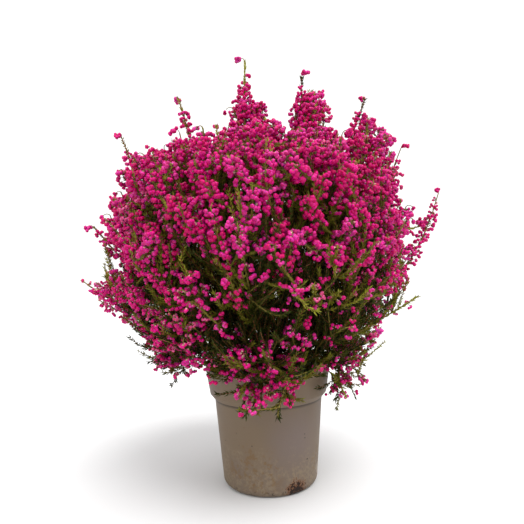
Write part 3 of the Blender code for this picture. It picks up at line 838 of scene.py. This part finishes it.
def grown_twigs(shoots):
    """Finer twigs by the same rule, each where its spike has the most room."""
    draw = random.Random(f"{SEED} twigs")
    limbs = [(name, shoot) for name, group in shoots.items() for shoot in group]
    taken = list(traced([limb for _, limb in limbs], SPIKE_POINTS))
    twigs = []
    turn = 0
    rounds = [(owner, lowest) for owner, count, lowest in TWIG_ROUNDS for _ in range(count)]
    for owner, lowest in rounds:
        best = None
        widest = TWIG_ROOM
        others = np.concatenate(taken)
        choice = [limb for limb in limbs if owner in ("", limb[0])]
        for _ in range(TWIG_TRIES):
            name, parent = choice[draw.randrange(len(choice))]
            root_at = draw.uniform(*TWIG_ROOTS)
            end_at = min(1.0, root_at + draw.uniform(*TWIG_RUN))
            turn += GOLDEN_TURN
            root = bezier(*parent, root_at)
            heading = bezier(*parent, end_at) - root
            sideways = side_direction(heading, turn) * draw.uniform(*TWIG_SPREAD)
            lift = Vector((0, 0, heading.length * ring_of(name).lift))
            tip = root + heading * draw.uniform(0.85, 1.15) + sideways + lift
            bend = root + heading * 0.50 + sideways * 0.90
            level = crown_level(tip)
            if tip[2] < lowest or (level > 1 and not spaces.follows(name, tip)):
                continue
            points = traced([(root, bend, tip)], SPIKE_POINTS)[0]
            room = np.linalg.norm(points[:, None] - others[None], axis=2).min()
            room *= np.interp(level, *ROOM_WEIGHTS)
            if room > widest and within_box(points) and spaces.holds(name, points, TWIG_MARGIN):
                best = (name, (root, bend, tip), points)
                widest = room
        if best:
            twigs.append(best[:2])
            limbs.append(best[:2])
            taken.append(best[2])
    return twigs


def leafy_twigs_of(name, path, shoots, fine_twigs):
    """Flowerless twigs that fill the inside: long on the bough, shorter further out."""
    draw = random.Random(f"{SEED} leafy {name}")
    start, bend, _ = path
    bough = (start, start.lerp(bend, BOUGH_SHARE), bezier(*path, BOUGH_SHARE))
    twigs = []
    parents = [(bough, LEAFY_ON_BOUGH)]
    parents += [(shoot, LEAFY_ON_SHOOT) for shoot in shoots]
    parents += [(twig, LEAFY_ON_TWIG) for twig in fine_twigs]
    for parent, (first, last, spacing, runs) in parents:
        length = (parent[2] - parent[0]).length
        turn = draw.uniform(0, 2 * math.pi)
        count = int(length * (last - first) / spacing)
        for i in range(count):
            at = first + (last - first) * (i + 0.5) / count
            turn += GOLDEN_TURN
            run = draw.uniform(*runs)
            lean = LEAFY_LEAN * draw.uniform(0.6, 1.2)
            root = bezier(*parent, at)
            ahead = heading_at(parent, at, 0.02)
            side = side_direction(ahead, turn)
            aim = ahead * math.cos(lean) + side * math.sin(lean)
            tip = root + aim * run + Vector((0, 0, run * LEAFY_LIFT))
            bend_at = root + (ahead * 0.35 + side * 0.65) * run * 0.6
            line = traced([(root, bend_at, tip)], LEAFY_POINTS)[0]
            if crown_level(tip) <= ring_of(name).leafy and clears_pot(line) and within_box(line):
                twigs.append((root, bend_at, tip))
    return twigs


def twig_finish(name, dark, pale):
    look = ((1100, 3, 0.6, (1, 1, 0.2)), (0.35, 0.65), (0.55, 0.2), (0.5, 0.0002))
    return two_tone(name, dark, pale, *look, Specular_IOR_Level=0.20).material


box_low, box_high = (np.array(corner) for corner in cad_box)
spaces = Spaces(paths)
shoots = {name: shoots_of(name, path) for name, path in paths.items()}
twigs = grown_twigs(shoots)

# A spike is a shoot or a twig that may flower: its plume, its curve, and whether it is a fine one
spikes = [(name, curve, name.startswith("skirt")) for name, group in shoots.items() for curve in group]
spikes += [(name, curve, True) for name, curve in twigs]
shoot_unit = rod(SHOOT_SIDES, SHOOT_RINGS)
spike_shares = np.linspace(0, 1, SHOOT_RINGS)
spike_lines = traced([curve for _, curve, _ in spikes], spike_shares)
spike_lines = np.clip(spike_lines, box_low + SHOOT_RADII[1], box_high - SHOOT_RADII[1])
spike_sizes = np.array([TWIG_RADII if fine else SHOOT_RADII for _, _, fine in spikes])
spike_radii = spike_sizes[:, :1] + (spike_sizes[:, 1:] - spike_sizes[:, :1]) * spike_shares
spike_copies = bent(shoot_unit[0], spike_lines, spike_radii)
spike_levels = np.array([crown_level(line[SHOOT_RINGS // 2]) for line in spike_lines])

leafy = []
for name, path in paths.items():
    own_twigs = [curve for owner, curve in twigs if owner == name]
    leafy += [(name, curve) for curve in leafy_twigs_of(name, path, shoots[name], own_twigs)]
leafy_unit = rod(3, LEAFY_RINGS)
leafy_lines = traced([curve for _, curve in leafy], np.linspace(0, 1, LEAFY_RINGS))
leafy_copies = bent(leafy_unit[0], leafy_lines, np.linspace(*LEAFY_RADII, LEAFY_RINGS))

old = spike_levels < GREEN_FROM
brown = twig_finish("old_twigs", *TWIG_BROWNS)
green = twig_finish("young_twigs", *TWIG_GREENS)
add_copies("old_twigs", spike_copies[old], shoot_unit[1], brown)
add_copies("young_twigs", spike_copies[~old], shoot_unit[1], green)
add_copies("leafy_twigs", leafy_copies, leafy_unit[1], brown)


# Bells: small waxy urn-shaped flowers, three on the end of each short side stalk, which crowd round the outer
# part of every twig and make it a spike. Each spike is dealt a shade, and a few of its clusters another one.

BELL_LENGTH = 0.0038
BELL_WIDTH = 0.0039
BELL_SIDES = 6
BELL_OUTLINE = [(0.0, 0.02), (0.50, 0.34), (0.38, 0.86), (0.0, 0.90)]
SPIKE_STARTS = 0.28
LIMB_STARTS_LATER = 0.12
SPIKE_ENDS = 0.97
NODE_SPACING = 0.0058
STALKS_PER_NODE = 3
BELLS_PER_STALK = 3
STALK_LENGTH = 0.0038
STALK_LEAN = math.radians(60)
OTHER_SHADE_SHARE = 0.45
BARE_BELOW = 0.160
FULL_ABOVE = 0.226
LOWEST_BLOOM = 0.13
LOW_BLOOM = {
    "low_left": 1.00, "flank_left": 1.00, "low_front_left": 0.70, "flank_front_left": 0.70,
    "low_back_left": 0.60, "low_back_right": 0.40, "low_right": 0.15,
}
# The skirts flower more higher up, by height, and less far from their leaders, by gap
SKIRT_BLOOM_UP = ([0.100, 0.125], [1.0, 2.0])
SKIRT_BLOOM_OUT = ([0.016, 0.034], [1.3, 0.5])
INNER_LEVELS = (0.22, 0.54)
OUTER_LEVELS = (1.05, 1.40)
OUTER_BLOOM = 0.10
LEADER_BLOOM = 0.90
LEADER_THINS = (0.006, 0.024)
TIP_BLOOM = 0.50
CREST_TIP_BLOOM = 0.10
SMALL_BELLS = 0.80
SMALL_BELOW = (0.165, 0.235)
SKIRT_BELLS = 0.88
FADED_BELOW = 0.190
FADED_SHARE = 0.12
HOOK_LEVEL = 0.80
HOOK_BLOOM = 0.50
HOOK_SHARE = 0.45
HOOK_RADIUS = 0.0036
HOOK_TURN = math.radians(130)
HOOK_RINGS = 6
HOOK_THICKNESS = (0.00042, 0.000294)
BOX_MARGIN = 0.0004
WALL_INSIDE = 0.006
WALL_OUTSIDE = 0.0006

# Dark crimson painted as shade at both ends of every bell
BELL_ENDS_SHADE = (0.340, 0.001, 0.062)
# Shade name, share of the spikes that it is dealt to, colour, and colour of its fine mottling
SHADES = {
    "crimson": (0.19, (0.570, 0.001, 0.152), (0.485, 0.001, 0.112)),
    "magenta": (0.24, (0.630, 0.003, 0.216), (0.560, 0.001, 0.166)),
    "rose": (0.20, (0.645, 0.012, 0.228), (0.585, 0.005, 0.180)),
    "bright": (0.26, (0.640, 0.028, 0.288), (0.590, 0.012, 0.232)),
    "lilac": (0.10, (0.660, 0.056, 0.338), (0.610, 0.026, 0.272)),
    "faded": (0.01, (0.760, 0.160, 0.350), (0.680, 0.060, 0.240)),
}


def bell_shape():
    """A closed urn along +Z from its stalk at the origin to its small flat mouth."""
    bm = bmesh.new()
    bmesh.ops.create_uvsphere(bm, u_segments=BELL_SIDES, v_segments=3, radius=0.5)
    levels = sorted({round(vert.co.z, 4) for vert in bm.verts})
    outline = dict(zip(levels, BELL_OUTLINE))
    for vert in bm.verts:
        out, along = outline[round(vert.co.z, 4)]
        vert.co = polar(math.atan2(vert.co.y, vert.co.x), out, along)
    bmesh.ops.recalc_face_normals(bm, faces=bm.faces)
    return triangles_of(bm)


def bell_finish(name, colour, mottle):
    """Waxy petal, with painted shade darkening it at the stalk and round the mouth, so its belly looks lit.
    """
    finish = Finish(name, Specular_IOR_Level=0.18, Subsurface_Weight=0.40, Subsurface_Scale=0.002)
    tone = finish.step(finish.mottle(520, 3), 0.38, 0.64)
    along = finish.add("Attribute", {"attribute_name": "along"}, {}, "Fac")
    # Painted shade: each bell fades to dark crimson at both ends, leaving its middle bright as if lit
    lit_belly = finish.step(along, 0.06, 0.30) * finish.step(along, 0.90, 0.62)
    petal = finish.blend((1 - lit_belly) * 0.70, finish.blend(tone, mottle, colour), BELL_ENDS_SHADE)
    finish.give(Base_Color=petal, Roughness=0.34 + 0.14 * tone)
    finish.bump(finish.mottle(1800, 2), 0.12, 0.0002)
    return finish.material


def bloom_at(name, point, outer=OUTER_BLOOM):
    """The share of stalks that flower at a point: few low down or outside, none deep inside."""
    share = ring_of(name).bloom
    if name.startswith("skirt"):
        share *= np.interp(point[2], *SKIRT_BLOOM_UP)
        return share * np.interp(spaces.gap(name, point), *SKIRT_BLOOM_OUT)
    if spaces.follows(name, point):
        outer = LEADER_BLOOM
    level = crown_level(point)
    share *= np.interp(level, INNER_LEVELS, [0, 1]) * np.interp(level, OUTER_LEVELS, [1, outer])
    return share * np.interp(point[2], [BARE_BELOW, FULL_ABOVE], [LOW_BLOOM.get(name, LOWEST_BLOOM), 1.0])


def dealt_shade(draw):
    pick = draw.random()
    for shade, (share, _, _) in SHADES.items():
        pick -= share
        if pick < 0:
            return shade
    return "magenta"


def flower_stalks():
    """The foot, tip, outward direction, size, shade and plume of each flowering stalk."""
    stalks = []
    for index, (name, curve, fine) in enumerate(spikes):
        draw = random.Random(f"{SEED} stalks {index}")
        starts = SPIKE_STARTS + (0 if fine else LIMB_STARTS_LATER)
        count = max(1, round(length_of(curve) * (SPIKE_ENDS - starts) / NODE_SPACING))
        turn = draw.uniform(0, 2 * math.pi)
        spike_shade = dealt_shade(draw)
        for i in range(count):
            at = starts + (SPIKE_ENDS - starts) * (i + draw.uniform(0.3, 0.7)) / count
            turn += GOLDEN_TURN
            foot = bezier(*curve, at)
            shade = dealt_shade(draw) if draw.random() < OTHER_SHADE_SHARE else spike_shade
            if foot.z < FADED_BELOW and not name.startswith("skirt") and draw.random() < FADED_SHARE:
                shade = "faded"
            share = bloom_at(name, foot)
            if curve is shoots[name][0]:
                least = CREST_TIP_BLOOM if name.startswith("crest") else TIP_BLOOM
                share = bloom_at(name, foot, LEADER_BLOOM)
                share *= np.interp((curve[2] - foot).length, LEADER_THINS, [least, 1.0])
            ahead = heading_at(curve, at)
            taper = np.interp(at, [starts, starts + 0.15, 0.80, SPIKE_ENDS], [0.75, 1.0, 0.95, 0.45])
            for k in range(STALKS_PER_NODE):
                size = draw.uniform(0.88, 1.10)
                lean = STALK_LEAN * draw.uniform(0.80, 1.15)
                around = turn + 2 * math.pi * k / STALKS_PER_NODE + draw.uniform(-0.4, 0.4)
                side = side_direction(ahead, around)
                tip = foot + (ahead * math.cos(lean) + side * math.sin(lean)) * STALK_LENGTH * taper * size
                if draw.random() < share:
                    stalks.append((foot, tip, side, size * (0.62 + 0.38 * taper), shade, name))
    return stalks


def hooked_tips():
    """Thin ends of spikes that arch over: their lines, and the stalks that hang there."""
    draw = random.Random(f"{SEED} hooks")
    lines = []
    hanging = []
    for name, curve, fine in spikes:
        pick = draw.random()
        turn = draw.uniform(0, 2 * math.pi)
        radius = HOOK_RADIUS * draw.uniform(0.7, 1.2)
        bare = ring_of(name).bloom * LOW_BLOOM.get(name, 1.0) < HOOK_BLOOM
        if bare or crown_level(curve[2]) < HOOK_LEVEL or (pick > HOOK_SHARE and fine):
            continue
        ahead = (curve[2] - curve[1]).normalized()
        side = (side_direction(ahead, turn) + polar(math.atan2(curve[2].y, curve[2].x), 0.8, 0)).normalized()
        side = (side - ahead * side.dot(ahead)).normalized()
        angles = [HOOK_TURN * i / (HOOK_RINGS - 1) for i in range(HOOK_RINGS)]
        line = [curve[2] + ahead * radius * math.sin(a) + side * radius * (1 - math.cos(a)) for a in angles]
        lines.append(line)
        down = (line[-1] - line[-2]).normalized()
        shade = dealt_shade(draw)
        for end in (-1,) if fine else (-1, -2, -3):
            hanging.append((line[end - 1], line[end], down, draw.uniform(0.85, 1.0), shade, name))
    return lines, hanging


def bells_of(stalks):
    """The place, direction, size and shade of each bell, which nods outwards and down."""
    draw = random.Random(f"{SEED} bells")
    for _, tip, side, size, shade, name in stalks:
        across = side.cross(Vector((0, 0, 1)))
        across = across.normalized() if across.length > 0.1 else Vector((1, 0, 0))
        spread = draw.uniform(0.75, 1.15)
        for i in range(BELLS_PER_STALK):
            sideways = spread * (i - (BELLS_PER_STALK - 1) / 2) + draw.uniform(-0.15, 0.15)
            down = draw.uniform(0.10, 0.75) if i == 1 else draw.uniform(-0.20, 0.55)
            nod = (side * draw.uniform(0.6, 1.0) + across * sideways - Vector((0, 0, down))).normalized()
            place = tip + nod * 0.0009 * draw.uniform(0.4, 1.8) + Vector((0, 0, 0.0012 * draw.uniform(-1, 1)))
            small = SKIRT_BELLS
            if not name.startswith("skirt"):
                small = np.interp(place.z, SMALL_BELOW, [SMALL_BELLS, 1.0])
            yield place, nod, size * small * draw.uniform(0.84, 1.08), shade


def keeps_inside(copies):
    """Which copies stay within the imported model's box and clear of the pot's wall."""
    out = np.hypot(copies[..., 0], copies[..., 1])
    low = copies[..., 2] < POT_HEIGHT + WALL_OUTSIDE
    in_wall = (out > RIM_RADIUS - WALL_INSIDE) & (out < RIM_RADIUS + WALL_OUTSIDE) & low
    in_pot = (out <= RIM_RADIUS - WALL_INSIDE) & (copies[..., 2] < SOIL_TOP)
    return within_box(copies, BOX_MARGIN) & ~(in_wall | in_pot).any(axis=1)


stalks = flower_stalks()
hook_lines, hanging = hooked_tips()
bells = zip(*bells_of(stalks + hanging))
bell_places, bell_nods, bell_sizes, bell_shades = (np.array(column) for column in bells)
bell_points, bell_faces = bell_shape()
bell_turns = turns_to(bell_nods, np.random.default_rng(9).uniform(0, 2 * math.pi, len(bell_sizes)))
bell_scales = bell_sizes[:, None] * [[BELL_WIDTH, BELL_WIDTH, BELL_LENGTH]]
bell_copies = placed(bell_points, bell_places, bell_turns, bell_scales)
bells_kept = keeps_inside(bell_copies)
for shade, (_, colour, mottle) in SHADES.items():
    name = f"bells_{shade}"
    dealt = bell_copies[bells_kept & (bell_shades == shade)]
    petal = bell_finish(f"petal_{shade}", colour, mottle)
    replaced = list(paths) if shade == "magenta" else []
    add_copies(name, dealt, bell_faces, petal, replaced, bell_points[:, 2])


# Calyces, stalks and hooked tips: each bell hangs from a thread-like stalk that widens into four small sepals
# over its top, olive among the fresh bells and creamy pink where the bloom is sparse. Spikes arch at the end.

SEPAL_REACH = 0.62
CALYX_SIDES = 4
CALYX_LENGTH = 0.0019
CALYX_AT = 0.17
STALK_RADII = (0.00030, 0.00022)
CREAM_BELOW = 0.215
CREAM_SHARE = 0.60
CREAM_SHARE_ABOVE = 0.30
CALYX_GREENS = ((0.140, 0.080, 0.028), (0.240, 0.170, 0.050))
CALYX_CREAMS = ((0.560, 0.280, 0.220), (0.760, 0.520, 0.420))

calyx_bm = bmesh.new()
bmesh.ops.create_cone(
    calyx_bm, cap_ends=False, segments=CALYX_SIDES, radius1=0.0, radius2=0.42, depth=1.0,
    matrix=Matrix.Translation((0, 0, 0.5)),
)
bmesh.ops.remove_doubles(calyx_bm, verts=calyx_bm.verts, dist=0.0001)
calyx_points, calyx_faces = triangles_of(calyx_bm)
calyx_lengths = CALYX_LENGTH * bell_sizes
calyx_tops = bell_places + bell_nods * (BELL_LENGTH * CALYX_AT * bell_sizes)[:, None]
calyx_feet = calyx_tops - bell_nods * calyx_lengths[:, None]
calyx_scales = np.stack([bell_sizes * BELL_WIDTH * SEPAL_REACH] * 2 + [calyx_lengths], axis=1)
calyx_copies = placed(calyx_points, calyx_feet, bell_turns, calyx_scales)
calyces_kept = bells_kept & keeps_inside(calyx_copies)
cream_share = np.where(bell_places[:, 2] < CREAM_BELOW, CREAM_SHARE, CREAM_SHARE_ABOVE)
cream = np.random.default_rng(17).random(len(bell_sizes)) < cream_share
for name, dealt, tones in (("calyx_green", ~cream, CALYX_GREENS), ("calyx_cream", cream, CALYX_CREAMS)):
    finish = two_tone(name, *tones, (1300, 3), (0.36, 0.64), (0.55, 0.15))
    add_copies(name, calyx_copies[calyces_kept & dealt], calyx_faces, finish.material)

for name, lines, radii, unit in (
    ("flower_stalks", [stalk[:2] for stalk in stalks], STALK_RADII, rod(3, 2)),
    ("hooked_tips", hook_lines, np.linspace(*HOOK_THICKNESS, HOOK_RINGS), rod(4, HOOK_RINGS)),
):
    copies = bent(unit[0], np.array(lines), radii)
    add_copies(name, copies[keeps_inside(copies)], unit[1], green)


# Needles: soft leaves 4 to 5 mm long, in fours round the twigs, close together and pointing forwards. They
# clothe the twigs below the flowers and stand among the lower bells. Each twig is dealt one of four greens,
# by place as painted shade: darker inside the crown and low down, paler outside and high up.

NEEDLE_LENGTH = 0.0050
NEEDLE_WIDTH = 0.00130
WHORL_SPACING = 0.0024
NEEDLES_PER_WHORL = 4
SPIKE_NEEDLE_LEAN = math.radians(20)
LEAFY_NEEDLE_LEAN = math.radians(34)
NEEDLE_OUTLINE = [(0, 0, 0), (-0.5, -0.35, 0.34), (0, 0, 1), (0.5, -0.35, 0.34)]
LEAFY_SHARE = 0.80
LEAFY_LEVELS = ([0.05, 0.35], [0.62, 1.0])
LEAFY_BELOW_BLOOM = 0.35
THIN_FROM = 0.38
THINNED_BY_BLOOM = 0.85
# How pale a green gets: by height, which paints shade low down and lightens high up, on some plumes, and
# where one green gives way to the next
GREEN_SHADE_BY_HEIGHT = ([0.13, 0.25, 0.30], [0.54, -0.06, -0.36])
PALER = {"low_right": 0.30, "low_front_right": 0.08, "skirt_right": 0.20, "flank_right": 0.10}
SHADED_BELOW = 0.10
DEEP_BELOW = 0.40
OLIVE_BELOW = 0.82
GREENS = {
    # The darkest green is painted shade for needles deep inside the crown
    "inner": ((0.022, 0.030, 0.002), (0.009, 0.013, 0.001)),
    "deep": ((0.046, 0.058, 0.004), (0.022, 0.028, 0.002)),
    "olive": ((0.160, 0.168, 0.012), (0.098, 0.092, 0.008)),
    "fresh": ((0.300, 0.310, 0.028), (0.190, 0.190, 0.015)),
}


def needle_shape():
    """A slim blade folded along its middle like a roof."""
    bm = bmesh.new()
    foot, left, tip, right = (bm.verts.new(point) for point in NEEDLE_OUTLINE)
    bm.faces.new((foot, tip, left))
    bm.faces.new((foot, right, tip))
    return triangles_of(bm)


def dealt_green(name, draw, point):
    """Painted shade: darker greens inside the crown and low down, paler ones outside and high up."""
    pick = draw.random() * 0.8 + 0.6 * min(crown_level(point), 1.0) - 0.10 + PALER.get(name, 0)
    pick -= np.interp(point[2], *GREEN_SHADE_BY_HEIGHT)
    if pick < DEEP_BELOW:
        return "inner" if pick < SHADED_BELOW else "deep"
    return "olive" if pick < OLIVE_BELOW else "fresh"


def needles_on(name, curve, draw, most_lean, share, flowers):
    """Foot, direction, size and green of a twig's needles, fewer among flowers."""
    green_name = dealt_green(name, draw, curve[1])
    count = int(length_of(curve) / WHORL_SPACING)
    for i in range(count):
        at = (i + 0.5) / count
        here = bezier(*curve, at)
        ahead = heading_at(curve, at)
        first = draw.uniform(0, 2 * math.pi)
        thinned = THINNED_BY_BLOOM * bloom_at(name, here) if flowers and at > THIN_FROM else 0.0
        for k in range(NEEDLES_PER_WHORL):
            lean = most_lean * draw.uniform(0.6, 1.3)
            size = draw.uniform(0.75, 1.1)
            if draw.random() > share - thinned:
                continue
            side = side_direction(ahead, first + 2 * math.pi * k / NEEDLES_PER_WHORL)
            yield here, ahead * math.cos(lean) + side * math.sin(lean), size, green_name


def needles_of():
    for index, (name, curve, _) in enumerate(spikes):
        draw = random.Random(f"{SEED} needles {index}")
        lean = SPIKE_NEEDLE_LEAN if bloom_at(name, curve[1]) > LEAFY_BELOW_BLOOM else LEAFY_NEEDLE_LEAN
        yield from needles_on(name, curve, draw, lean, 1.0, True)
    for index, (name, curve) in enumerate(leafy):
        draw = random.Random(f"{SEED} leafy needles {index}")
        share = LEAFY_SHARE * np.interp(crown_level(curve[1]), *LEAFY_LEVELS)
        yield from needles_on(name, curve, draw, LEAFY_NEEDLE_LEAN, share, False)


needles = zip(*needles_of())
needle_places, needle_aims, needle_sizes, needle_greens = (np.array(column) for column in needles)
needle_points, needle_faces = needle_shape()
needle_turns = turns_to(needle_aims, np.random.default_rng(23).uniform(0, 2 * math.pi, len(needle_sizes)))
needle_scales = needle_sizes[:, None] * [[NEEDLE_WIDTH, NEEDLE_WIDTH, NEEDLE_LENGTH]]
needle_copies = placed(needle_points, needle_places, needle_turns, needle_scales)
needles_kept = keeps_inside(needle_copies)
for shade, (pale, dark) in GREENS.items():
    look = (f"leaf_{shade}", dark, pale, (700, 3), (0.36, 0.64), (0.42, 0.18))
    leaf = two_tone(*look, Specular_IOR_Level=0.12).material
    dealt = needle_copies[needles_kept & (needle_greens == shade)]
    add_copies(f"needles_{shade}", dealt, needle_faces, leaf)


# Studio: a wide pale floor, an even white surround, and one broad soft light from high in front, a little to
# the right.

FLOOR_SIDE = 60
FLOOR_GREY = (0.70, 0.70, 0.70)
SUN_FROM = Vector((0.27, -0.40, 1.0))
SUN_SOFTNESS = math.radians(38)
SUN_STRENGTH = 2.6
SURROUND_STRENGTH = 1.19

floor_bm = bmesh.new()
bmesh.ops.create_grid(floor_bm, x_segments=1, y_segments=1, size=FLOOR_SIDE / 2)
floor = add_object("floor", mesh_of("floor", floor_bm))
floor.data.materials.append(Finish("floor", Base_Color=FLOOR_GREY, Roughness=1.0).material)

surround = bpy.data.worlds.new("surround")
surround.use_nodes = True
surround.node_tree.nodes["Background"].inputs["Color"].default_value = (1, 1, 1, 1)
surround.node_tree.nodes["Background"].inputs["Strength"].default_value = SURROUND_STRENGTH
bpy.context.scene.world = surround
bpy.context.scene.view_settings.view_transform = "Standard"

sun_data = bpy.data.lights.new("sun", "SUN")
sun_data.angle = SUN_SOFTNESS
sun_data.energy = SUN_STRENGTH
sun = add_object("sun", sun_data)
sun.matrix_world = SUN_FROM.to_track_quat("Z", "Y").to_matrix().to_4x4()
